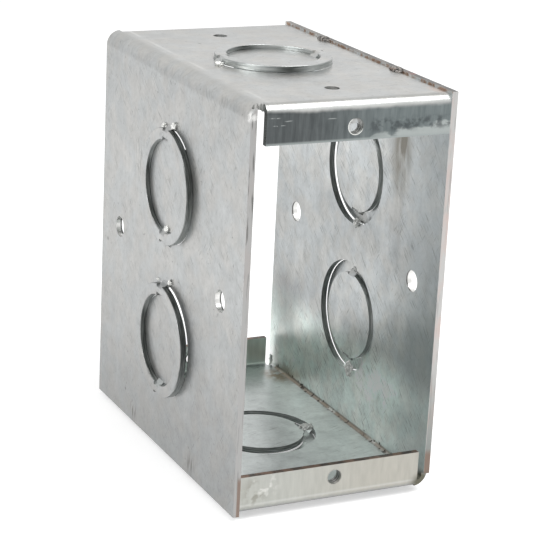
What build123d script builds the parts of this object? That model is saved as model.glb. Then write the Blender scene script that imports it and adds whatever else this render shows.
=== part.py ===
from build123d import *
import os

# One-gang masonry box, open at the front and at the rear, so that it lines a hole right through a wall.
# Two like sheets are each folded into an L: one side panel and one end panel with a device flange at
# either face. The second sheet lies half a turn about the depth axis from the first. The first sheet is
# relieved at the front only. The second is relieved at the rear, and its front corner is notched right
# through the bend. Each end panel's free edge butts the other sheet's side panel and is tack welded there.
# Frame: X is the width, Y the depth from the front face (-Y) to the rear face (+Y), Z is up.
# The origin is the middle of the foot print, at the lowest point, which is the ring of the bottom knockout.

# Overall size over the flat outer faces
width = 51.0
depth = 85.7
height = 95.25

# Folded sheet. The side bend is struck tight inside, so the sheet is thinner there
sheet = 1.5
side_bend_outer_radius = 3.5
side_bend_inner_radius = 0.9
flange_bend_inner_radius = 0.8
edge_overrun = 0.5
flange_height = 9.1

# Relief at the bent end of a flange: a slot beside the side panel that ends in a round hole in the bend
relief_slot_width = 1.75
relief_reach = 2.8
relief_hole_radius = 1.1
relief_hole_shift = 0.3
wide_slot_width = 2.3

# Notch that takes the whole side bend away at one face
notch_depth = 1.1
notch_height = 3.3

# Device screw holes, tapped in a collar that is drawn inwards. Their inset from the end panels leaves them
# 83.34 mm apart, the spacing of one-gang devices
device_hole_inset = 5.955
device_hole_radius = 1.78
collar_radius = 2.7
collar_length = 1.0

# Nail and screw holes
side_hole_radius = 2.6
side_hole_inset = 12.0
end_hole_radius = 1.75
end_hole_inset = 12.2

# Concentric knockouts: a disc inside a ring, both sheared out of the sheet and left hanging on two ties
knockout_disc_radius = 11.1
knockout_ring_width = 3.0
knockout_spacing = 38.3
knockout_shift = 0.5
knockout_shear_gap = 0.1
knockout_rollover = 0.25
disc_proud = 0.5
bottom_disc_proud = -0.25
bottom_knockout_y = -2.4
bend_side_ring_proud = 1.65
free_side_ring_proud = 1.9
end_ring_proud = 1.6
tie_width = 3.0
tie_slope_run = 1.5
tie_root = 0.6

# Tack welds in the two seams
weld_front_inset = 25.7
weld_rear_inset = 22.6
weld_half_length = 2.8
weld_half_width = 1.5
weld_half_height = 0.85

# Places that follow from the sizes above
bottom_face = end_ring_proud
top_face = bottom_face + height
mid_height = bottom_face + height / 2
side_face = width / 2
inner_side_face = side_face - sheet
half_depth = depth / 2
flange_bend_outer_radius = flange_bend_inner_radius + sheet
flange_start = -inner_side_face + relief_slot_width
knockout_radius = knockout_disc_radius + knockout_ring_width
depth_axis = Axis((0, 0, mid_height), (0, 1, 0))
cut_margin = 1.0


def angle_blank():
    """Side panel and end panel, folded with the large bend and straight through the depth."""
    free_edge = bottom_face - edge_overrun
    outer_corner = (-side_face, top_face)
    inner_corner = (-inner_side_face, top_face - sheet)
    outline = [
        (-side_face, free_edge),
        outer_corner,
        (inner_side_face, top_face),
        (inner_side_face, top_face - sheet),
        inner_corner,
        (-inner_side_face, free_edge),
    ]
    section = make_face(Polyline(*outline, close=True))
    for corner, radius in ((outer_corner, side_bend_outer_radius), (inner_corner, side_bend_inner_radius)):
        section = fillet(section.vertices().sort_by_distance((*corner, 0))[0], radius)
    return extrude(Plane.XZ * section, half_depth, both=True)


def flanged_end_panel():
    """End panel with its two device flanges, trimmed to the outside of the large bend."""
    middle_line = FilletPolyline(
        (-half_depth + sheet / 2, top_face - flange_height),
        (-half_depth + sheet / 2, top_face - sheet / 2),
        (half_depth - sheet / 2, top_face - sheet / 2),
        (half_depth - sheet / 2, top_face - flange_height),
        radius=flange_bend_inner_radius + sheet / 2,
    )
    section = trace(middle_line, line_width=sheet)
    channel = Pos(flange_start, 0, 0) * extrude(Plane.YZ * section, inner_side_face - flange_start)
    outline = Rectangle(width, 2 * flange_height)
    corner = outline.vertices().group_by(Axis.Y)[-1].sort_by(Axis.X)[0]
    outline = Pos(0, top_face - flange_height) * fillet(corner, side_bend_outer_radius)
    return channel & extrude(Plane.XZ * outline, half_depth, both=True)


def flange_bend_zone(end):
    """Room for the small bend at one face, from the flange's start on. end is -1 at the front."""
    zone_width = width - sheet + cut_margin
    zone_depth = flange_bend_outer_radius + cut_margin
    zone_height = side_bend_outer_radius + cut_margin
    zone_y = half_depth + (cut_margin - flange_bend_outer_radius) / 2
    zone = Box(zone_width, zone_depth, zone_height, align=(Align.MIN, Align.CENTER, Align.MAX))
    return Pos(flange_start, end * zone_y, top_face + cut_margin / 2) * zone


def relief_cut(end, slot_width):
    """Slot beside the flange with its round end, punched through the large bend."""
    slot_middle = -inner_side_face + slot_width / 2
    hole_middle = -inner_side_face + relief_slot_width / 2 - relief_hole_shift
    hole_y = half_depth - relief_reach + relief_hole_radius
    cut_height = side_bend_outer_radius + 2 * cut_margin
    hole = Pos(hole_middle, end * hole_y) * Circle(relief_hole_radius)
    slot_y = (hole_y + half_depth) / 2
    slot = Pos(slot_middle, end * slot_y) * Rectangle(slot_width, half_depth - hole_y)
    cut_bottom = top_face - side_bend_outer_radius - relief_slot_width / 4
    bend_cut = Pos(0, 0, cut_bottom) * extrude(hole + slot, cut_height)
    return bend_cut + Pos(0, 0, top_face - flange_height - cut_margin) * extrude(slot, flange_height)


def corner_notch(end):
    """Room for the notch through the side bend, from the flange to outside the side panel."""
    notch_width = flange_start + side_face + cut_margin
    notch = Box(notch_width, notch_depth + cut_margin, notch_height + cut_margin)
    notch_y = half_depth + (cut_margin - notch_depth) / 2
    notch_z = top_face + (cut_margin - notch_height) / 2
    return Pos(flange_start - notch_width / 2, end * notch_y, notch_z) * notch


def device_hole(end):
    """Collar and hole of one flange, as the pair (metal to add, metal to take away)."""
    hole_z = top_face - device_hole_inset
    flange_inner_y = half_depth - sheet
    collar_middle = flange_inner_y - collar_length / 2
    collar = Cylinder(collar_radius, collar_length + sheet / 2, rotation=(90, 0, 0))
    hole = Cylinder(device_hole_radius, 2 * (collar_length + sheet) + cut_margin, rotation=(90, 0, 0))
    return (
        Pos(0, end * (collar_middle + sheet / 4), hole_z) * collar,
        Pos(0, end * flange_inner_y, hole_z) * hole,
    )


def knockout_ring(proud):
    """Ring of a knockout, sheared out of the sheet, with the soft upper edges that the punch leaves."""
    ring_width = knockout_radius - knockout_shear_gap - knockout_disc_radius
    section = Rectangle(ring_width, sheet)
    section = fillet(section.vertices().group_by(Axis.Y)[-1], knockout_rollover)
    place = Pos(knockout_disc_radius + ring_width / 2, proud - sheet / 2)
    return revolve(Plane.XZ * (place * section), Axis.Z)


def knockout_disc(proud):
    """Disc of a knockout, left almost flush."""
    disc_radius = knockout_disc_radius - knockout_shear_gap
    section = Pos(disc_radius / 2, proud - sheet / 2) * Rectangle(disc_radius, sheet)
    return revolve(Plane.XZ * section, Axis.Z)


def knockout_tie(ring_proud, middle_proud):
    """Sheet stretched from the panel up to the ring and down again to the disc, along +Y."""
    root = knockout_radius + tie_root
    ring_outer_end = root - tie_slope_run
    disc_end = knockout_disc_radius - knockout_shear_gap - tie_root
    ring_inner_end = disc_end + tie_slope_run
    upper_line = [
        (root + tie_root, 0),
        (root, 0),
        (ring_outer_end, ring_proud),
        (ring_inner_end, ring_proud),
        (disc_end, middle_proud),
        (disc_end - tie_root, middle_proud),
    ]
    lower_line = [(y, z - sheet) for y, z in reversed(upper_line)]
    section = make_face(Polyline(*upper_line, *lower_line, close=True))
    return extrude(Plane.YZ * section, tie_width / 2, both=True)


def knockout(ring_proud, middle_proud):
    """Ring, disc and ties, lying in a panel whose outer face is Z = 0, with the ties along Y."""
    tie = knockout_tie(ring_proud, middle_proud)
    disc_end = knockout_disc_radius - knockout_shear_gap - tie_root
    zone_align = (Align.CENTER, Align.MIN, Align.CENTER)
    zone_height = 4 * (sheet + ring_proud)
    tie_zone = Pos(0, disc_end, 0) * Box(tie_width, knockout_radius, zone_height, align=zone_align)
    tie_zones = [tie_zone, Rot(0, 0, 180) * tie_zone]
    sheared = knockout_ring(ring_proud) + knockout_disc(middle_proud) - tie_zones
    return sheared + tie + Rot(0, 0, 180) * tie


def add_knockout(panel, plane, ring_proud, middle_proud):
    """Shear a knockout into a panel whose outer face holds the plane, with the ties along its Y."""
    hole = Pos(0, 0, -sheet / 2) * Cylinder(knockout_radius, sheet + cut_margin)
    return panel - plane * hole + plane * knockout(ring_proud, middle_proud)


def folded_sheet(corner_cuts, end_knockout_y, end_disc_proud):
    """One L sheet: left side panel and top panel, with flanges, reliefs, holes and knockouts."""
    part = angle_blank()
    part -= [flange_bend_zone(end) for end in (-1, 1)]
    part += flanged_end_panel()
    part -= corner_cuts

    for end in (-1, 1):
        collar, hole = device_hole(end)
        part = part + collar - hole
        side_hole = Cylinder(side_hole_radius, 4 * sheet, rotation=(0, 90, 0))
        part -= Pos(-side_face, end * (half_depth - side_hole_inset), mid_height) * side_hole
        part -= Pos(0, end * (half_depth - end_hole_inset), top_face) * Cylinder(end_hole_radius, 4 * sheet)

    upper_knockout_z = mid_height - knockout_shift + knockout_spacing / 2
    lower_knockout_z = mid_height - knockout_shift - knockout_spacing / 2
    for z, proud in ((upper_knockout_z, bend_side_ring_proud), (lower_knockout_z, free_side_ring_proud)):
        on_side = Plane(origin=(-side_face, 0, z), x_dir=(0, -1, 0), z_dir=(-1, 0, 0))
        part = add_knockout(part, on_side, proud, disc_proud)
    on_end = Plane(origin=(0, end_knockout_y, top_face), x_dir=(0, -1, 0), z_dir=(0, 0, 1))
    return add_knockout(part, on_end, end_ring_proud, end_disc_proud)


def tack_weld(y, shells):
    """Bead of weld metal in the seam at the top of the right panel, seated on both sheets."""
    bead = scale(Sphere(1), by=(weld_half_width, weld_half_length, weld_half_height))
    return Pos(inner_side_face, y, top_face + edge_overrun / 4) * bead - shells


left_top_shell = folded_sheet([relief_cut(-1, wide_slot_width)], 0, disc_proud)
second_sheet_cuts = [corner_notch(-1), relief_cut(1, relief_slot_width)]
second_sheet = folded_sheet(second_sheet_cuts, bottom_knockout_y, bottom_disc_proud)
right_bottom_shell = second_sheet.rotate(depth_axis, 180)
shells = [left_top_shell, right_bottom_shell]

nodes = {"left_top_shell": left_top_shell, "right_bottom_shell": right_bottom_shell}
for place, y in (("front", -half_depth + weld_front_inset), ("rear", half_depth - weld_rear_inset)):
    bead = tack_weld(y, shells)
    nodes["top_seam_weld_" + place] = bead
    nodes["bottom_seam_weld_" + place] = bead.rotate(depth_axis, 180)

os.makedirs("parts", exist_ok=True)
for name, shape in nodes.items():
    shape.label = name
    export_step(shape, "parts/" + name + ".step")
    print(name, "volume", round(shape.volume, 1), "solids", len(shape.solids()), "valid", shape.is_valid)
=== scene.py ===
import math

import bmesh
import bpy
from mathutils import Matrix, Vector, noise


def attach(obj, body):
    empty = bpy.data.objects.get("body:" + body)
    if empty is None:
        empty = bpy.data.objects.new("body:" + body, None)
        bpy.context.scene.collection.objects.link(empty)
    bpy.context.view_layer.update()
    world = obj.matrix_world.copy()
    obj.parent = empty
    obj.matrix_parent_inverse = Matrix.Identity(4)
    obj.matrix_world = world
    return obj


# Masonry box of galvanised sheet steel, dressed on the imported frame. Shader lengths are in millimetres.
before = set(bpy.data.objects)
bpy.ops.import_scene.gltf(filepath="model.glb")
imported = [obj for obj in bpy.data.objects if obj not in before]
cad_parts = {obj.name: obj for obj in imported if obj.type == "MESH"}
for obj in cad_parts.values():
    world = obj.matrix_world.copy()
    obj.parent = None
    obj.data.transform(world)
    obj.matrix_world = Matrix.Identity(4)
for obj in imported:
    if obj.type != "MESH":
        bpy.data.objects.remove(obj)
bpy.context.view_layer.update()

# Places on the frame, in millimetres. The side panels and the faces lie on both sides of the middle
BOTTOM = 1.6
TOP = 96.85
MIDDLE = 49.225
FACE = 42.85
SIDE_INNER = 24.0
SIDE_OUTER = 25.5
DEVICE_HOLE_INSET = 5.955
DEVICE_HOLE_RADIUS = 1.78
NAIL_HOLE_RADIUS = 2.6
DISC_RADIUS = 11.1
RING_RADIUS = 14.1

# Middles of the knockouts, and the lumps of zinc at their ties with their half sizes
KNOCKOUTS = (
    (-SIDE_INNER, 0.0, 67.875), (-SIDE_INNER, 0.0, 29.575), (SIDE_INNER, 0.0, 68.875),
    (SIDE_INNER, 0.0, 30.575), (0.0, 0.0, TOP), (0.0, -2.4, BOTTOM),
)
LUMPS = (
    ((-25.9, -2.3, 82.9), (0.6, 0.75, 0.8)),
    ((-25.7, 3.9, 81.6), (0.55, 0.75, 0.7)),
    ((-26.2, -0.6, 57.6), (0.5, 0.9, 0.8)),
    ((-26.2, 4.4, 56.6), (0.45, 0.7, 0.6)),
    ((-25.8, -2.6, 44.8), (0.45, 0.65, 0.7)),
    ((-25.6, 5.0, 43.4), (0.3, 0.7, 0.25)),
    ((-26.2, -0.8, 18.0), (0.5, 1.1, 0.7)),
    ((23.9, -3.1, 17.3), (0.75, 1.3, 1.9)),
    ((23.8, -2.6, 55.4), (0.6, 1.1, 1.1)),
    ((24.3, -2.4, 43.4), (0.4, 0.5, 0.8)),
    ((12.4, -3.6, 3.2), (1.9, 1.1, 0.8)),
    ((13.4, 2.6, 97.8), (1.1, 0.9, 0.45)),
    ((-15.0, -2.4, 97.2), (1.0, 0.7, 0.5)),
)

# Pairs of colours that a noise mixes
ZINC = ((0.408, 0.42, 0.42), (0.422, 0.421, 0.41))
TOP_ZINC = ((0.478, 0.486, 0.48), (0.495, 0.49, 0.47))
INNER_HIGH = ((0.41, 0.43, 0.435), (0.43, 0.435, 0.425))
INNER_LOW = ((0.5, 0.56, 0.535), (0.53, 0.56, 0.53))
ARC_HIGHLIGHT = ((0.42, 0.435, 0.425), (0.7, 0.705, 0.685))
FLANGE_REFLECTION_DARK = ((0.037, 0.042, 0.044), (0.13, 0.143, 0.145))
FLANGE_REFLECTION_MID = ((0.08, 0.098, 0.1), (0.225, 0.255, 0.256))
FLANGE_PALE = ((0.225, 0.252, 0.248), (0.41, 0.44, 0.43))
FLANGE_DULL = ((0.425, 0.43, 0.4), (0.425, 0.412, 0.37))
FLANGE_END = ((0.045, 0.05, 0.048), (0.15, 0.16, 0.155))
FLANGE_BACK = ((0.45, 0.52, 0.48), (0.7, 0.77, 0.72))
CUT_STEEL = ((0.47, 0.465, 0.455), (0.5, 0.43, 0.405))
BARE_STEEL = ((0.045, 0.042, 0.038), (0.17, 0.16, 0.14))
RUSTY_LIP = ((0.06, 0.045, 0.035), (0.2, 0.12, 0.08))
SHEARED_REFLECTION_LEFT = ((0.045, 0.05, 0.047), (0.16, 0.17, 0.165))
SHEARED_REFLECTION_RIGHT = ((0.28, 0.3, 0.29), (0.6, 0.62, 0.61))
SHEARED_REFLECTION_BOTTOM = ((0.2, 0.22, 0.21), (0.55, 0.57, 0.56))
SHEARED_LIT_REFLECTION = ((0.36, 0.385, 0.38), (0.6, 0.62, 0.61))
NAIL_HOLE_WALL = ((0.1, 0.1, 0.097), (0.8, 0.8, 0.78))
BURNT_WELD = ((0.02, 0.018, 0.017), (0.3, 0.28, 0.26))
LUMP_ZINC = ((0.7, 0.705, 0.69), (0.92, 0.92, 0.89))

# Single colours
INNER_BOTTOM = (0.62, 0.655, 0.645)
INNER_STRIP = (0.34, 0.385, 0.4)
GRAIN = (0.2, 0.205, 0.2)
SCRATCH = (0.15, 0.158, 0.152)
SPECK = (0.13, 0.13, 0.12)
SPOT = (0.1, 0.1, 0.09)
BEND_SHADE = (0.33, 0.335, 0.32)
BEND_HIGHLIGHT_LINE = (0.72, 0.72, 0.7)
FLANGE_MOTTLE = (0.045, 0.052, 0.056)
FLANGE_RIM = (0.31, 0.34, 0.335)
FLANGE_SCUFF = (0.5, 0.53, 0.52)
DULL_EDGE = (0.31, 0.315, 0.305)
DULL_EDGE_LINE = (0.58, 0.585, 0.565)
STAIN = (0.27, 0.265, 0.23)
CHALK = (0.62, 0.62, 0.59)
CUT_LEFT = (0.32, 0.32, 0.315)
CUT_DRAWN = (0.12, 0.12, 0.115)
CUT_LOW_RIGHT = (0.18, 0.195, 0.185)
CUT_LOW_LEFT = (0.2, 0.14, 0.11)
RED_RUST = (0.24, 0.06, 0.045)
SEAM_RUST = (0.3, 0.2, 0.14)
WARM_CORNER = (0.62, 0.47, 0.39)
CREASE_BROWN = (0.16, 0.115, 0.075)
CREASE_DOTS = (0.03, 0.025, 0.02)
HEAT_TINT = (0.33, 0.27, 0.2)
OLIVE_SHADE_AND_DIRT = (0.13, 0.125, 0.095)
BROWN_RUN = (0.235, 0.222, 0.19)
BORE_SHADE = (0.06, 0.06, 0.058)
DENT = (0.12, 0.115, 0.105)
GLINT = (0.9, 0.9, 0.88)
WELD_RUST = (0.2, 0.1, 0.06)

# Device holes: height, painted light on the bore's lit side, painted highlight and shade on the rim's two
# sides, and where the rim ends
DEVICE_HOLES = (
    (TOP - DEVICE_HOLE_INSET, (0.56, 0.56, 0.54), (0.8, 0.81, 0.78), (0.16, 0.17, 0.165), -42.3),
    (BOTTOM + DEVICE_HOLE_INSET, (0.36, 0.355, 0.345), (0.43, 0.42, 0.385), (0.43, 0.42, 0.385), -41.95),
)

# Scuffs on the top flange: where each starts and ends, and its height
FLANGE_SCUFFS = ((-17.2, -15.7, 93.05), (-20.0, -17.4, 92.1), (-6.8, -5.1, 93.0), (-21.0, -18.7, 93.8))


class Nodes:
    """Short names for the nodes of a material or a world."""

    def __init__(self, owner, output):
        owner.use_nodes = True
        self.nodes = owner.node_tree.nodes
        self.links = owner.node_tree.links
        self.nodes.clear()
        self.output = self.nodes.new(output)

    def put(self, value, socket):
        if isinstance(value, bpy.types.NodeSocket):
            self.links.new(value, socket)
        else:
            socket.default_value = value

    def math(self, operation, a, b=0.0, c=0.0):
        node = self.nodes.new("ShaderNodeMath")
        node.operation = operation
        for value, socket in zip((a, b, c), node.inputs):
            self.put(value, socket)
        return node.outputs[0]

    def ramp(self, value, low, high, start=0.0, end=1.0):
        """start below low, end above high, smooth in between."""
        node = self.nodes.new("ShaderNodeMapRange")
        node.interpolation_type = "SMOOTHSTEP"
        for given, socket in zip((value, low, high, start, end), node.inputs):
            self.put(given, socket)
        return node.outputs[0]

    def every(self, *masks):
        result = masks[0]
        for mask in masks[1:]:
            result = self.math("MULTIPLY", result, mask)
        return result

    def most(self, *masks):
        result = masks[0]
        for mask in masks[1:]:
            result = self.math("MAXIMUM", result, mask)
        return result

    def shows_background(self):
        """1 for the rays that show the white background, also in metal and through glass."""
        rays = self.nodes.new("ShaderNodeLightPath").outputs
        return self.most(rays["Is Camera Ray"], rays["Is Glossy Ray"], rays["Is Transmission Ray"])


class Graph(Nodes):
    """The nodes of one material, with places on the object in millimetres."""

    def __init__(self, name):
        self.material = bpy.data.materials.new(name)
        super().__init__(self.material, "ShaderNodeOutputMaterial")
        coordinates = self.nodes.new("ShaderNodeTexCoord")
        self.place = self.vector("MULTIPLY", coordinates.outputs["Object"], (1000, 1000, 1000))
        self.x, self.y, self.z = self.split(self.place)
        self.nx, self.ny, self.nz = self.split(coordinates.outputs["Normal"])

    def split(self, value):
        node = self.nodes.new("ShaderNodeSeparateXYZ")
        self.links.new(value, node.inputs[0])
        return node.outputs

    def vector(self, operation, a, b=None, output=0):
        node = self.nodes.new("ShaderNodeVectorMath")
        node.operation = operation
        self.put(a, node.inputs[0])
        if b is not None:
            self.put(b, node.inputs[1])
        return node.outputs[output]

    def band(self, value, low, high, soft=0.05):
        """1 between low and high, 0 outside."""
        rise = self.ramp(value, low - soft, low + soft)
        fall = self.ramp(value, high - soft, high + soft, 1.0, 0.0)
        return self.math("MULTIPLY", rise, fall)

    def noise_at(self, place, detail, rough=0.5):
        node = self.nodes.new("ShaderNodeTexNoise")
        self.links.new(place, node.inputs["Vector"])
        node.inputs["Scale"].default_value = 1.0
        node.inputs["Detail"].default_value = detail
        node.inputs["Roughness"].default_value = rough
        return node.outputs[0]

    def noise(self, size, detail=2.0, stretch=(1, 1, 1), rough=0.5, shift=(0, 0, 0)):
        """Noise with features about size across, longer along the axes with a stretch above 1."""
        scale = [1.0 / (size * s) for s in stretch]
        place = self.vector("ADD", self.vector("MULTIPLY", self.place, scale), shift)
        return self.noise_at(place, detail, rough)

    def clumps(self, low, high, size, detail=2.0, stretch=(1, 1, 1), shift=(0, 0, 0)):
        """0 where the noise is below low, 1 where it is above high."""
        return self.ramp(self.noise(size, detail, stretch, shift=shift), low, high)

    def lines(self, direction, across, length, width, shift):
        """Noise drawn out into short lines that run along the direction."""
        join = self.nodes.new("ShaderNodeCombineXYZ")
        for axis, size, socket in zip((direction, across), (length, width), join.inputs):
            self.put(self.math("DIVIDE", self.vector("DOT_PRODUCT", self.place, axis, "Value"), size), socket)
        join.inputs[2].default_value = shift
        return self.noise_at(join.outputs[0], 1.5)

    def reach(self, centre, scale=(1, 1, 1)):
        """Distance from the centre, with each axis times its scale."""
        offset = self.vector("MULTIPLY", self.vector("SUBTRACT", self.place, centre), scale)
        return self.vector("LENGTH", offset, output="Value")

    def near(self, centre, radius, scale=(1, 1, 1)):
        """1 at the centre, falling to 0 at the radius."""
        return self.ramp(self.reach(centre, scale), 0.0, radius, 1.0, 0.0)

    def mix_value(self, factor, a, b):
        node = self.nodes.new("ShaderNodeMix")
        node.clamp_factor = True
        for value, number in ((factor, 0), (a, 2), (b, 3)):
            self.put(value, node.inputs[number])
        return node.outputs[0]

    def mix(self, factor, a, b):
        node = self.nodes.new("ShaderNodeMix")
        node.data_type = "RGBA"
        node.clamp_factor = True
        self.put(factor, node.inputs[0])
        for colour, number in ((a, 6), (b, 7)):
            self.put(colour + (1.0,) if isinstance(colour, tuple) else colour, node.inputs[number])
        return node.outputs[2]

    def cover(self, colour, mask, over, share=1.0):
        """Colour with the other colour over it where the mask says, up to a share."""
        return self.mix(mask if share == 1.0 else self.math("MULTIPLY", mask, share), colour, over)

    def tint(self, colour, amount):
        """Colour times a grey amount."""
        node = self.nodes.new("ShaderNodeMix")
        node.data_type = "RGBA"
        node.blend_type = "MULTIPLY"
        node.inputs[0].default_value = 1.0
        self.put(colour, node.inputs[6])
        grey = self.nodes.new("ShaderNodeCombineColor")
        for socket in grey.inputs:
            self.links.new(amount, socket)
        self.links.new(grey.outputs[0], node.inputs[7])
        return node.outputs[2]

    def surface(self, colour, rough, metal, height, bump):
        shader = self.nodes.new("ShaderNodeBsdfPrincipled")
        self.put(colour, shader.inputs["Base Color"])
        self.put(rough, shader.inputs["Roughness"])
        self.put(metal, shader.inputs["Metallic"])
        relief = self.nodes.new("ShaderNodeBump")
        relief.inputs["Strength"].default_value = bump
        relief.inputs["Distance"].default_value = 0.001
        self.links.new(height, relief.inputs["Height"])
        self.links.new(relief.outputs[0], shader.inputs["Normal"])
        self.links.new(shader.outputs[0], self.output.inputs["Surface"])
        return self.material


class Sheet(Graph):
    """The zinc sheet's material, with the masks and noises that its parts share."""

    def __init__(self):
        super().__init__("zinc_sheet")
        self.across_x = self.math("ABSOLUTE", self.nx)
        self.across_z = self.math("ABSOLUTE", self.nz)
        self.flat_x = self.ramp(self.across_x, 0.6, 0.9)
        self.flat_y = self.ramp(self.math("ABSOLUTE", self.ny), 0.6, 0.9)
        self.flat_z = self.ramp(self.across_z, 0.6, 0.9)
        self.facing_front = self.ramp(self.ny, -0.9, -0.6, 1.0, 0.0)
        self.from_middle = self.math("ABSOLUTE", self.y)
        self.from_centre = self.math("ABSOLUTE", self.x)
        sideways = self.math("MULTIPLY", self.x, self.nx)
        upwards = self.math("MULTIPLY", self.math("SUBTRACT", self.z, MIDDLE), self.nz)
        self.inside = self.ramp(self.math("ADD", sideways, upwards), -12.0, 2.0, 1.0, 0.0)

        # The front flanges. The painted highlight on the bend of the top one starts at a wavy edge
        self.on_flange = self.ramp(self.from_centre, SIDE_INNER - 0.05, SIDE_INNER + 0.05, 1.0, 0.0)
        at_front = self.ramp(self.y, -42.4, -41.9, 1.0, 0.0)
        flange = self.every(self.facing_front, at_front, self.on_flange)
        wavy_edge = self.math("MULTIPLY_ADD", self.noise(2.6, 2.0, shift=(3, 0, 3)), 0.7, 94.6)
        wavy_edge = self.math("ADD", wavy_edge, self.ramp(self.x, -22.0, -12.0, 0.5, 0.0))
        self.over_edge = self.math("SUBTRACT", self.z, wavy_edge)
        below_bend = self.ramp(self.over_edge, -0.6, 0.4, 1.0, 0.0)
        self.top_flange = self.every(flange, self.ramp(self.z, 80.0, 82.0), below_bend)
        self.bottom_flange = self.every(flange, self.ramp(self.z, 11.5, 12.5, 1.0, 0.0))

        self.fine = self.noise(0.9, 4.0, rough=0.6)
        self.blotch = self.noise(3.2, 3.0, shift=(4, 8, 1))
        self.fine_streak = self.noise(0.8, 3.0, (1, 1, 8))


def plain_zinc(s):
    """Soft clouds, fine mottling and rolling streaks, painted shade low outside, greener inside with painted
    light.
    """
    cloud = s.noise(11.0, 2.0, shift=(3, 1, 7))
    streak_side = s.math("MULTIPLY", s.noise(1.1, 3.0, (1, 1, 26)), s.flat_x)
    streak_end = s.math("MULTIPLY", s.noise(1.1, 3.0, (26, 1, 1), shift=(0, 5, 0)), s.flat_z)
    streak = s.math("ADD", streak_side, streak_end)
    level = s.math("MULTIPLY_ADD", s.fine, 0.36, 0.82)
    for layer, amount in ((s.blotch, 0.32), (cloud, 0.24), (streak, 0.14)):
        level = s.math("ADD", level, s.math("MULTIPLY_ADD", layer, amount, -amount / 2))
    tone = s.clumps(0.4, 0.62, 6.0, shift=(9, 2, 5))
    top = s.tint(s.mix(tone, *TOP_ZINC), s.ramp(s.y, 0.0, 40.0, 1.0, 0.9))
    outer = s.mix(s.ramp(s.z, 93.8, 96.7), s.mix(tone, *ZINC), top)
    # Painted shade: the outside darker towards the bottom
    outer = s.tint(outer, s.math("MULTIPLY", level, s.ramp(s.z, 4.0, 70.0, 0.78, 1.0)))

    inner_blotch = s.noise(4.5, 3.0, (1, 1, 1.6), shift=(7, 7, 2))
    inner_level = s.math("ADD", level, s.math("MULTIPLY_ADD", inner_blotch, 0.5, -0.25))
    # Painted light inside: the upper walls lighter towards the top, the low walls lifted, more towards the
    # rear
    high = s.tint(s.mix(tone, *INNER_HIGH), s.ramp(s.z, 50.0, 76.0, 1.0, 1.42))
    low = s.tint(s.mix(tone, *INNER_LOW), s.math("MULTIPLY_ADD", s.ramp(s.y, 0.0, 30.0), 0.45, 1.38))
    inner = s.mix(s.ramp(s.z, 19.0, 29.0, 1.0, 0.0), high, low)
    inner = s.cover(inner, s.every(s.flat_z, s.ramp(s.z, 3.5, 4.5, 1.0, 0.0)), INNER_BOTTOM)
    inner = s.tint(inner, inner_level)

    # Painted light on the walls towards the front and painted shade low at the rear, with a bluer strip at
    # the very front
    lighter = s.math("MULTIPLY", s.near((SIDE_INNER, -14.0, 28.0), 34.0), 0.5)
    darker = s.math("MULTIPLY", s.near((SIDE_INNER, 35.0, 20.5), 17.0, (1, 1, 1.1)), 0.68)
    even = s.math("SUBTRACT", s.math("ADD", lighter, 1.0), darker)
    inner = s.mix(s.flat_x, inner, s.tint(inner, even))
    front_strip = s.every(s.flat_x, s.ramp(s.y, -34.0, -22.0, 1.0, 0.0), s.ramp(s.x, 20.0, 22.0))
    inner = s.cover(inner, front_strip, INNER_STRIP, 0.35)
    return s.mix(s.inside, outer, inner)


def scratches(s):
    """Short drawn lines in five directions, each in its own patches."""
    slanted = s.lines((0, -0.78, -0.62), (0, 0.62, -0.78), 5.0, 0.32, 3.0)
    slanted = s.every(s.ramp(slanted, 0.6, 0.7), s.clumps(0.4, 0.56, 7.0, shift=(1, 6, 3)), s.flat_x)
    crossed = s.lines((0, 0.55, -0.83), (0, 0.83, 0.55), 4.0, 0.3, 8.0)
    crossed = s.every(s.ramp(crossed, 0.62, 0.72), s.clumps(0.46, 0.58, 8.0, shift=(5, 2, 9)), s.flat_x)
    on_ends = s.lines((0.94, 0.34, 0), (-0.34, 0.94, 0), 7.0, 0.3, 5.0)
    on_ends = s.every(s.ramp(on_ends, 0.63, 0.73), s.clumps(0.45, 0.6, 9.0, shift=(2, 3, 9)), s.flat_z)
    within = s.lines((0, -0.66, -0.75), (0, 0.75, -0.66), 7.0, 0.3, 14.0)
    within = s.every(s.ramp(within, 0.6, 0.7), s.clumps(0.4, 0.52, 9.0, shift=(8, 1, 2)), s.flat_x)
    within = s.every(within, s.math("MULTIPLY_ADD", s.inside, 0.5, 0.5))
    scuffed = s.lines((0, 0.1, 1), (0, 1, -0.1), 6.0, 0.5, 21.0)
    scuff_patch = s.near((-SIDE_OUTER, 18.5, 70.0), 8.0, (1, 1.3, 0.8))
    scuffed = s.every(s.ramp(scuffed, 0.52, 0.64), scuff_patch, s.flat_x)
    return s.most(slanted, crossed, on_ends, within, scuffed)


def grained(s, colour, scratch):
    """Fine dark grain, scratches, specks and a few single spots."""
    grain = s.noise(0.75, 3.0, (1.3, 1.3, 2.4), shift=(2, 12, 4))
    grain_share = s.math("MULTIPLY_ADD", s.inside, -0.16, 0.28)
    colour = s.cover(colour, s.ramp(grain, 0.26, 0.44, 1.0, 0.0), GRAIN, grain_share)
    colour = s.cover(colour, scratch, SCRATCH, 0.6)
    speck = s.ramp(s.noise(1.0, 1.5, shift=(11, 4, 2)), 0.21, 0.3, 1.0, 0.0)
    speck_share = s.math("MULTIPLY_ADD", s.inside, -0.35, 0.6)
    colour = s.cover(colour, speck, SPECK, speck_share)
    spots = (((-SIDE_OUTER, 39.0, 43.8), 0.8), ((-SIDE_OUTER, 24.3, 8.0), 0.7), ((-9.2, 22.5, TOP), 0.7))
    for centre, radius in spots:
        colour = s.cover(colour, s.near(centre, radius), SPOT, 0.8)
    return colour


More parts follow.
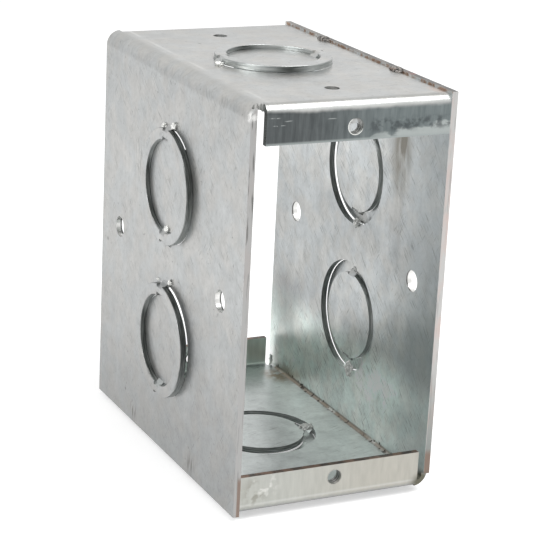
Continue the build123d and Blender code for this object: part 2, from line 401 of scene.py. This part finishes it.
def bends(s, colour):
    """Painted shade and highlights at the side bend and on the arc of the flange bend."""
    on_bend = s.every(s.ramp(s.z, 95.6, 96.3), s.flat_z)
    # Painted shade along the side bend
    colour = s.cover(colour, s.every(on_bend, s.band(s.x, -23.9, -21.6, 1.2)), BEND_SHADE, 0.4)

    before_sides = s.ramp(s.from_centre, SIDE_INNER - 0.6, SIDE_INNER - 0.1, 1.0, 0.0)
    front_arc = s.every(s.ramp(s.y, -41.0, -40.3, 1.0, 0.0), before_sides)
    # Painted highlight on the arc of the flange bend
    lit_arc = s.every(front_arc, s.ramp(s.over_edge, -0.7, 0.7), s.ramp(s.z, 96.0, 96.6, 1.0, 0.0))
    arc_noise = s.noise(2.0, 3.0, (3, 1, 1), shift=(2, 7, 7))
    colour = s.cover(colour, lit_arc, s.mix(arc_noise, *ARC_HIGHLIGHT))
    # Painted shade on the top panel just before the arc
    arc_start = s.every(s.ramp(s.y, -41.9, -39.5, 1.0, 0.0), s.ramp(s.z, 96.35, 96.65), s.flat_z)
    colour = s.cover(colour, arc_start, BEND_SHADE, 0.6)
    # Painted highlight: a light line on the top panel near the side bend
    light_line = s.every(on_bend, s.band(s.x, -20.6, -20.0, 0.5), s.clumps(0.4, 0.6, 9))
    return s.cover(colour, light_line, BEND_HIGHLIGHT_LINE, 0.5)


def top_flange(s, colour):
    """Rolled zinc with a painted dark reflection, streaks, mottles, a pale patch at the right and a few
    scuffs.
    """
    # Painted dark reflection, darker at the left
    dark, middling = [s.mix(s.fine_streak, *pair) for pair in (FLANGE_REFLECTION_DARK, FLANGE_REFLECTION_MID)]
    zinc = s.mix(s.ramp(s.x, -14.0, 12.0), dark, middling)
    patch_edge = s.math("MULTIPLY_ADD", s.noise(3.0, 3.0, (1.6, 1, 1), shift=(0, 2, 4)), 7.0, 86.6)
    patch_edge = s.math("ADD", patch_edge, s.ramp(s.x, 2.0, 6.0, -3.5, -0.9))
    patch_edge = s.math("ADD", patch_edge, s.ramp(s.x, 13.0, 18.0, 0.0, 1.8))
    patch = s.ramp(s.math("SUBTRACT", s.z, patch_edge), -0.6, 0.3, 1.0, 0.0)
    zinc = s.cover(zinc, patch, s.mix(s.ramp(s.x, 2.0, 10.0), *FLANGE_PALE), 0.75)
    mottle = s.every(s.clumps(0.42, 0.66, 1.5, 3.0, shift=(6, 1, 4)), s.band(s.z, 89.4, 92.2, 0.8))
    zinc = s.cover(zinc, s.every(mottle, s.ramp(s.x, 2.5, 5.0, 0.15, 0.7)), FLANGE_MOTTLE)
    zinc = s.cover(zinc, s.ramp(s.z, 87.9, 88.5, 1.0, 0.0), FLANGE_RIM, 0.8)
    waver = s.math("ADD", s.z, s.math("MULTIPLY_ADD", s.noise(1.5), 0.3, -0.15))
    broken = s.ramp(s.noise(0.7), 0.35, 0.5, 0.0, 0.55)
    for start, end, z in FLANGE_SCUFFS:
        scuff = s.every(s.band(s.x, start, end, 0.5), s.band(waver, z - 0.08, z + 0.08, 0.09), broken)
        zinc = s.cover(zinc, scuff, FLANGE_SCUFF)
    return s.cover(colour, s.top_flange, zinc)


def bottom_flange(s, colour):
    """Dull zinc, a little yellow, with a darker lower edge and stains at the left."""
    brushed = s.noise(0.9, 3.0, (1, 1, 5), shift=(3, 3, 3))
    zinc = s.tint(s.mix(s.ramp(s.x, -18.0, 14.0), *FLANGE_DULL), s.math("MULTIPLY_ADD", brushed, 0.3, 0.85))
    zinc = s.cover(zinc, s.ramp(s.z, 2.6, 3.4, 1.0, 0.0), DULL_EDGE, 0.6)
    zinc = s.cover(zinc, s.band(s.z, 3.5, 3.9, 0.35), DULL_EDGE_LINE, 0.55)
    stained = s.clumps(0.46, 0.62, 2.2, 3.0, shift=(8, 8, 8))
    zinc = s.cover(zinc, s.every(s.near((-20.5, -FACE, 6.6), 4.6, (1, 1, 0.8)), stained), STAIN, 0.9)
    chalky = s.clumps(0.5, 0.62, 2.0, 3.0, shift=(1, 8, 5))
    zinc = s.cover(zinc, s.every(s.near((-18.0, -FACE, 8.0), 5.0), chalky), CHALK)
    return s.cover(colour, s.bottom_flange, zinc)


def flange_ends_and_backs(s, colour):
    """Sheared ends beside the slots, and the faces of the rear flanges that look at the front."""
    end = s.every(s.flat_x, s.ramp(s.from_middle, 40.9, 41.3), s.band(s.from_centre, 21.4, 22.5, 0.1))
    colour = s.cover(colour, end, s.mix(s.fine_streak, *FLANGE_END))
    back = s.every(s.facing_front, s.ramp(s.y, 39.0, 40.0), s.on_flange)
    return s.cover(colour, back, s.mix(s.noise(1.4, 3.0, (1, 1, 5)), *FLANGE_BACK))


def cut_edges(s, colour):
    """Cut edges of the side panels at the faces: grey to pinkish, brown low down, with dark drawn lines."""
    on_edge = s.ramp(s.from_centre, SIDE_INNER - 0.1, SIDE_INNER + 0.05)
    cut = s.every(s.flat_y, on_edge, s.ramp(s.from_middle, FACE - 0.15, FACE - 0.05))
    steel = s.mix(s.clumps(0.42, 0.66, 2.4, 3.0, (1, 1, 3), shift=(2, 9, 5)), *CUT_STEEL)
    on_left = s.ramp(s.x, -23.0, -22.0, 1.0, 0.0)
    steel = s.cover(steel, on_left, CUT_LEFT, 0.8)
    upper_left = s.every(s.ramp(s.z, 50.0, 66.0), on_left)
    drawn = s.clumps(0.56, 0.68, 0.45, 2.0, (1, 1, 16), shift=(6, 1, 1))
    steel = s.cover(steel, drawn, CUT_DRAWN, s.math("MULTIPLY_ADD", upper_left, 0.55, 0.3))
    low_right = s.every(s.ramp(s.z, 5.0, 40.0, 1.0, 0.0), s.ramp(s.x, SIDE_INNER, SIDE_INNER + 0.2))
    steel = s.cover(steel, low_right, CUT_LOW_RIGHT, 0.85)
    low_left = s.every(s.ramp(s.z, 9.5, 11.5, 1.0, 0.0), s.ramp(s.x, -24.9, -24.7))
    steel = s.cover(steel, low_left, CUT_LOW_LEFT, 0.85)
    return s.cover(colour, cut, steel)


def right_top_edge(s, colour):
    """Top edge of the right panel: bare steel gone dark, red rust ahead of the front weld, a rusty seam."""
    on_edge = s.every(s.ramp(s.x, 23.9, 24.05), s.ramp(s.x, SIDE_OUTER, SIDE_OUTER + 0.1, 1.0, 0.0))
    cut = s.every(s.flat_z, s.ramp(s.z, 97.2, 97.3), on_edge)
    bare = s.mix(s.clumps(0.4, 0.6, 1.6, 3.0, (1, 3, 1), shift=(4, 4, 1)), *BARE_STEEL)
    red = s.every(s.band(s.y, -24.2, -20.4, 0.6), s.clumps(0.42, 0.58, 1.2, 3.0, shift=(1, 1, 9)))
    colour = s.cover(colour, cut, s.cover(bare, red, RED_RUST, 0.75))
    at_seam = s.every(s.ramp(s.x, 23.2, 23.95), s.ramp(s.x, 24.05, 24.2, 1.0, 0.0))
    seam = s.every(s.ramp(s.z, 96.6, 96.75), at_seam, s.clumps(0.4, 0.62, 2.0, 3.0, shift=(6, 3, 1)))
    colour = s.cover(colour, seam, SEAM_RUST)
    return s.cover(colour, s.near((22.6, -37.5, TOP), 3.0, (1.4, 0.6, 1)), WARM_CORNER, 0.55)


def bottom_corners(s, colour):
    """Rusty lip of the bottom flange, and the inner corner with brown, black dots, heat tint, and dirt with
    painted shade.
    """
    lip = s.every(s.flat_z, s.band(s.z, 10.4, 11.0, 0.1), s.ramp(s.from_middle, 41.0, 41.2))
    colour = s.cover(colour, lip, s.mix(s.clumps(0.4, 0.6, 2.5), *RUSTY_LIP))

    crease = s.every(s.ramp(s.x, 23.0, 23.5), s.ramp(s.z, 3.6, 4.1, 1.0, 0.0), s.inside)
    worn = s.ramp(s.noise(5.0, shift=(2, 2, 2)), 0.3, 0.5, 0.45, 1.0)
    crease = s.every(crease, s.ramp(s.y, 37.5, 38.5, 1.0, 0.0), worn)
    colour = s.cover(colour, crease, CREASE_BROWN, 0.85)
    dots = s.every(s.ramp(s.x, 22.8, 23.2), s.ramp(s.z, 4.1, 4.5, 1.0, 0.0), s.inside)
    colour = s.cover(colour, s.every(dots, s.clumps(0.6, 0.68, 1.3, 1.0, shift=(3, 3, 0))), CREASE_DOTS)
    heat = s.every(s.near((21.5, 32.0, 3.1), 7.5, (1.5, 1, 1)), s.clumps(0.35, 0.55, 3.0, 3.0), s.inside)
    colour = s.cover(colour, heat, HEAT_TINT, 1.3)
    # Painted shade in the recess of the notch, with dirt
    notch = s.every(s.near((23.6, -42.0, 2.9), 3.4, (0.8, 0.6, 1)), s.ramp(s.x, 25.0, 25.4, 1.0, 0.0))
    return s.cover(colour, notch, OLIVE_SHADE_AND_DIRT, 1.5)


def brown_run(s, colour):
    """Brown run down the inside of the right panel."""
    streaky = s.clumps(0.18, 0.55, 2.6, 4.0, (1, 1, 4), shift=(5, 5, 8))
    run = s.every(s.near((SIDE_INNER, -22.2, 80.0), 14.0, (1, 2.0, 0.7)), streaky, s.flat_x, s.inside)
    return s.cover(colour, run, BROWN_RUN, 1.2)


def sheared_walls(s, colour):
    """Sheared walls of the knockouts: drawn round, with painted dark reflection and painted light."""
    drawn_x = s.clumps(0.35, 0.7, 0.2, 3.0, (1, 22, 22), shift=(1, 4, 4))
    drawn_z = s.clumps(0.35, 0.7, 0.2, 3.0, (22, 22, 1), shift=(4, 4, 1))
    not_x = s.ramp(s.across_x, 0.45, 0.75, 1.0, 0.0)
    not_z = s.ramp(s.across_z, 0.45, 0.75, 1.0, 0.0)
    for x, y, z in KNOCKOUTS:
        dark_pair = SHEARED_REFLECTION_LEFT
        if x:
            reach = s.reach((x, y, z), (0, 1, 1))
            on_panel = s.every(not_x, s.ramp(s.math("MULTIPLY", s.x, math.copysign(1.0, x)), 22.8, 23.2))
            drawn = drawn_x
            rise = s.math("SUBTRACT", s.z, z)
            # Painted light reflection, low on the front side and high on the rear side
            front_light = s.every(s.ramp(s.y, 0.0, 6.0, 1.0, 0.0), s.ramp(rise, -12.0, 1.0, 0.75, 0.0))
            rear_light = s.every(s.ramp(s.y, 0.0, 6.0), s.ramp(rise, 1.0, 9.0, 0.0, 0.7))
            light = s.math("ADD", front_light, rear_light)
            if x > 0:
                dark_pair = SHEARED_REFLECTION_RIGHT
        else:
            reach = s.reach((x, y, z), (1, 1, 0))
            drawn = drawn_z
            if z > MIDDLE:
                on_panel = s.every(not_z, s.ramp(s.z, 94.6, 95.0))
                # Painted light reflection, except for a band of painted dark reflection
                light = s.math("MULTIPLY_ADD", s.band(s.x, -5.5, 1.0, 3.2), -0.8, 0.8)
            else:
                on_panel = s.every(not_z, s.ramp(s.z, 3.6, 4.0, 1.0, 0.0))
                # Painted light reflection towards the right
                light = s.ramp(s.x, 4.0, 11.0, 0.0, 0.35)
                dark_pair = SHEARED_REFLECTION_BOTTOM
        disc_wall, ring_wall = [s.band(reach, r - 0.35, r + 0.25, 0.08) for r in (DISC_RADIUS, RING_RADIUS)]
        wall = s.every(s.most(disc_wall, ring_wall), on_panel)
        if x < 0:
            # The rolled edge round the ring, up to the height where the photo shows its line end
            line_end = 7.0 if z > MIDDLE else -4.0
            not_flat = s.ramp(s.across_x, 0.9, 0.985, 1.0, 0.0)
            beside = s.ramp(s.math("MULTIPLY", s.x, -1.0), 22.8, 23.2)
            rolled = s.every(ring_wall, not_flat, s.ramp(rise, line_end, line_end + 2.5, 1.0, 0.0), beside)
            wall = s.most(wall, rolled)
        shade = s.mix(light, s.mix(drawn, *dark_pair), s.mix(drawn, *SHEARED_LIT_REFLECTION))
        colour = s.cover(colour, wall, shade)

    # Nail holes: painted light on most of the bore, with painted shade at its inner end
    near_hole = s.every(s.band(s.from_middle, 28.0, 33.6, 0.1), s.ramp(s.from_centre, 23.0, 23.5))
    off_height = s.math("ABSOLUTE", s.math("SUBTRACT", s.z, MIDDLE))
    hole = s.ramp(off_height, NAIL_HOLE_RADIUS + 0.1, NAIL_HOLE_RADIUS + 0.3, 1.0, 0.0)
    nail_wall = s.mix(s.ramp(s.from_centre, 24.2, 24.5), *NAIL_HOLE_WALL)
    return s.cover(colour, s.every(hole, not_x, near_hole), nail_wall)


def device_holes(s, colour):
    """Threaded bores with painted light and shade, and rims with a painted highlight at the lower left."""
    for z, bright, rim_light, rim_dark, rim_end in DEVICE_HOLES:
        from_hole = s.reach((0, 0, z), (1, 0, 1))
        hole = s.ramp(from_hole, DEVICE_HOLE_RADIUS + 0.07, DEVICE_HOLE_RADIUS + 0.22, 1.0, 0.0)
        # Painted shade: the thread as darker stripes
        thread = s.ramp(s.math("SINE", s.math("MULTIPLY", s.y, 8.0)), -0.4, 0.6, 0.45, 1.0)
        # Painted light on one side of the bore, painted shade on the other
        lit = s.mix(s.ramp(s.math("SUBTRACT", s.nz, s.nx), -0.2, 0.9), BORE_SHADE, bright)
        colour = s.cover(colour, s.every(hole, s.ramp(s.from_middle, 39.5, 40.0)), s.tint(lit, thread))
        rim_side = s.math("ADD", s.x, s.math("SUBTRACT", s.z, z))
        rim_colour = s.mix(s.ramp(rim_side, 0.2, 1.6), rim_light, rim_dark)
        rim = s.every(hole, s.ramp(s.y, rim_end - 0.15, rim_end + 0.1, 1.0, 0.0))
        colour = s.cover(colour, rim, rim_colour)
    return colour


def dents_and_glint(s, colour):
    """Drawn dents beside the hidden welds of the left panel, and a painted highlight on a nub at the relief.
    """
    dent_lines = s.clumps(0.5, 0.62, 0.8, 1.0, (1, 1, 9), shift=(7, 7, 7))
    outside = s.ramp(s.nx, -0.9, -0.6, 1.0, 0.0)
    for y, z in ((19.0, 4.1), (-18.0, 3.9)):
        colour = s.cover(colour, s.every(s.near((-SIDE_OUTER, y, z), 3.6), dent_lines, outside), DENT)
    # Painted highlight
    glint = s.every(s.near((-24.9, -41.9, 94.2), 1.7), s.clumps(0.35, 0.5, 0.7))
    return s.cover(colour, glint, GLINT, 1.5)


def zinc_sheet():
    s = Sheet()
    scratch = scratches(s)
    colour = grained(s, plain_zinc(s), scratch)
    for part in (bends, top_flange, bottom_flange, flange_ends_and_backs, cut_edges, right_top_edge,
                 bottom_corners, brown_run, sheared_walls, device_holes, dents_and_glint):
        colour = part(s, colour)

    outer_rough = s.math("MULTIPLY_ADD", s.fine, 0.14, 0.24)
    inner_rough = s.math("MULTIPLY_ADD", s.fine, 0.12, 0.27)
    rough = s.mix_value(s.inside, outer_rough, inner_rough)
    rough = s.mix_value(s.bottom_flange, rough, 0.45)
    height = s.math("ADD", s.math("MULTIPLY", s.fine, 0.05), s.math("MULTIPLY", scratch, -0.05))
    height = s.math("ADD", height, s.math("MULTIPLY", s.blotch, 0.06))
    return s.surface(colour, rough, 0.85, height, 0.3)


def weld_metal():
    g = Graph("weld_metal")
    burnt = g.noise(0.7, 4.0)
    colour = g.mix(g.ramp(burnt, 0.38, 0.6), *BURNT_WELD)
    colour = g.cover(colour, g.clumps(0.55, 0.68, 1.1, 3.0, shift=(5, 1, 1)), WELD_RUST, 0.6)
    return g.surface(colour, 0.42, 0.7, burnt, 0.9)


def lump_zinc():
    g = Graph("zinc_lumps")
    grain = g.noise(0.45, 3.0)
    return g.surface(g.mix(g.ramp(grain, 0.35, 0.65), *LUMP_ZINC), 0.5, 0.85, grain, 0.5)


sheet_material = zinc_sheet()
weld_material = weld_metal()
lump_material = lump_zinc()
for name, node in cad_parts.items():
    node.data.materials.clear()
    node.data.materials.append(weld_material if "weld" in name else sheet_material)


def add_piece(name, mesh, material):
    mesh.materials.append(material)
    piece = bpy.data.objects.new(name, mesh)
    bpy.context.scene.collection.objects.link(piece)
    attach(piece, "root")


def zinc_lump(name, place, radii, seed):
    """Rough drop of zinc or torn burr that sits on the sheet. place and radii are in millimetres."""
    shape = bmesh.new()
    bmesh.ops.create_icosphere(shape, subdivisions=4, radius=1.0)
    for vertex in shape.verts:
        direction = vertex.co.normalized()
        rough = noise.noise(direction * 1.7 + Vector((seed, 0, 0))) * 0.5
        rough += noise.noise(direction * 4.5 + Vector((0, seed, 0))) * 0.14
        vertex.co = Vector([d * r * (1 + rough) for d, r in zip(direction, radii)])
        vertex.co = (vertex.co + Vector(place)) / 1000
    for face in shape.faces:
        face.smooth = True
    mesh = bpy.data.meshes.new(name)
    shape.to_mesh(mesh)
    shape.free()
    add_piece(name, mesh, lump_material)


for number, (place, radii) in enumerate(LUMPS, 1):
    zinc_lump("tie_lump_%02d" % number, place, radii, 3.7 * number)


def slit_shade_sheet(name, centre, outer_x, start, end):
    """Sheet that shades the slit under a ring. Angles in degrees run from the top towards the front."""
    radius = 13.97
    inner_x = -25.42
    steps = 48
    verts = []
    for step in range(steps + 1):
        angle = math.radians(start + (end - start) * step / steps)
        y = centre[1] - radius * math.sin(angle)
        z = centre[2] + radius * math.cos(angle)
        verts += [(inner_x / 1000, y / 1000, z / 1000), (outer_x / 1000, y / 1000, z / 1000)]
    faces = [(2 * n, 2 * n + 1, 2 * n + 3, 2 * n + 2) for n in range(steps)]
    mesh = bpy.data.meshes.new(name)
    mesh.from_pydata(verts, [], faces)
    add_piece(name, mesh, sheet_material)


# Sheets that put shade in the slits under the left rings
slit_shade_sheet("gap_film_upper", KNOCKOUTS[0], -25.75, 38, 171)
slit_shade_sheet("gap_film_lower", KNOCKOUTS[1], -26.0, 112, 171)

# Floor, which glows a little for the rays that show the background, so that it meets the white there
bpy.ops.mesh.primitive_plane_add(size=6, location=(0, 0, 0))
floor = bpy.context.object
floor.name = "floor"
g = Graph("floor_white")
diffuse = g.nodes.new("ShaderNodeBsdfDiffuse")
diffuse.inputs["Color"].default_value = (0.8, 0.8, 0.8, 1)
glow = g.nodes.new("ShaderNodeEmission")
g.put(g.math("MULTIPLY", g.shows_background(), 0.45), glow.inputs["Strength"])
add = g.nodes.new("ShaderNodeAddShader")
g.links.new(diffuse.outputs[0], add.inputs[0])
g.links.new(glow.outputs[0], add.inputs[1])
g.links.new(add.outputs[0], g.output.inputs["Surface"])
floor.data.materials.append(g.material)

# World: plain light, and white where it is seen or mirrored
world = bpy.data.worlds.new("studio")
bpy.context.scene.world = world
g = Nodes(world, "ShaderNodeOutputWorld")
background = g.nodes.new("ShaderNodeBackground")
background.inputs["Color"].default_value = (1, 1, 1, 1)
g.put(g.ramp(g.shows_background(), 0.0, 1.0, 0.55, 1.0), background.inputs["Strength"])
g.links.new(background.outputs[0], g.output.inputs["Surface"])


def soft_lamp(name, place, power):
    """Square lamp that looks at the middle of the box."""
    data = bpy.data.lights.new(name, "AREA")
    data.shape = "SQUARE"
    data.size = 0.5
    data.energy = power
    lamp = bpy.data.objects.new(name, data)
    bpy.context.scene.collection.objects.link(lamp)
    lamp.location = place
    aim = Vector((0, 0, 0.05)) - Vector(place)
    lamp.rotation_euler = (math.acos(-aim.z / aim.length), 0, math.atan2(-aim.x, aim.y))


soft_lamp("lamp_above", (0.25, -0.25, 0.75), 4.0)
soft_lamp("lamp_left", (-0.7, -0.2, 0.45), 3.0)

# Camera at the photo's place
camera_data = bpy.data.cameras.new("camera")
camera = bpy.data.objects.new("camera", camera_data)
bpy.context.scene.collection.objects.link(camera)
camera.location = (-0.20191, -0.41267, 0.19018)
camera.rotation_euler = (math.radians(72.426), math.radians(-2.693), math.radians(-25.433))
camera_data.lens = 131.36
camera_data.sensor_width = 36
camera_data.clip_start = 0.01
bpy.context.scene.camera = camera

bpy.context.scene.view_settings.view_transform = "Standard"
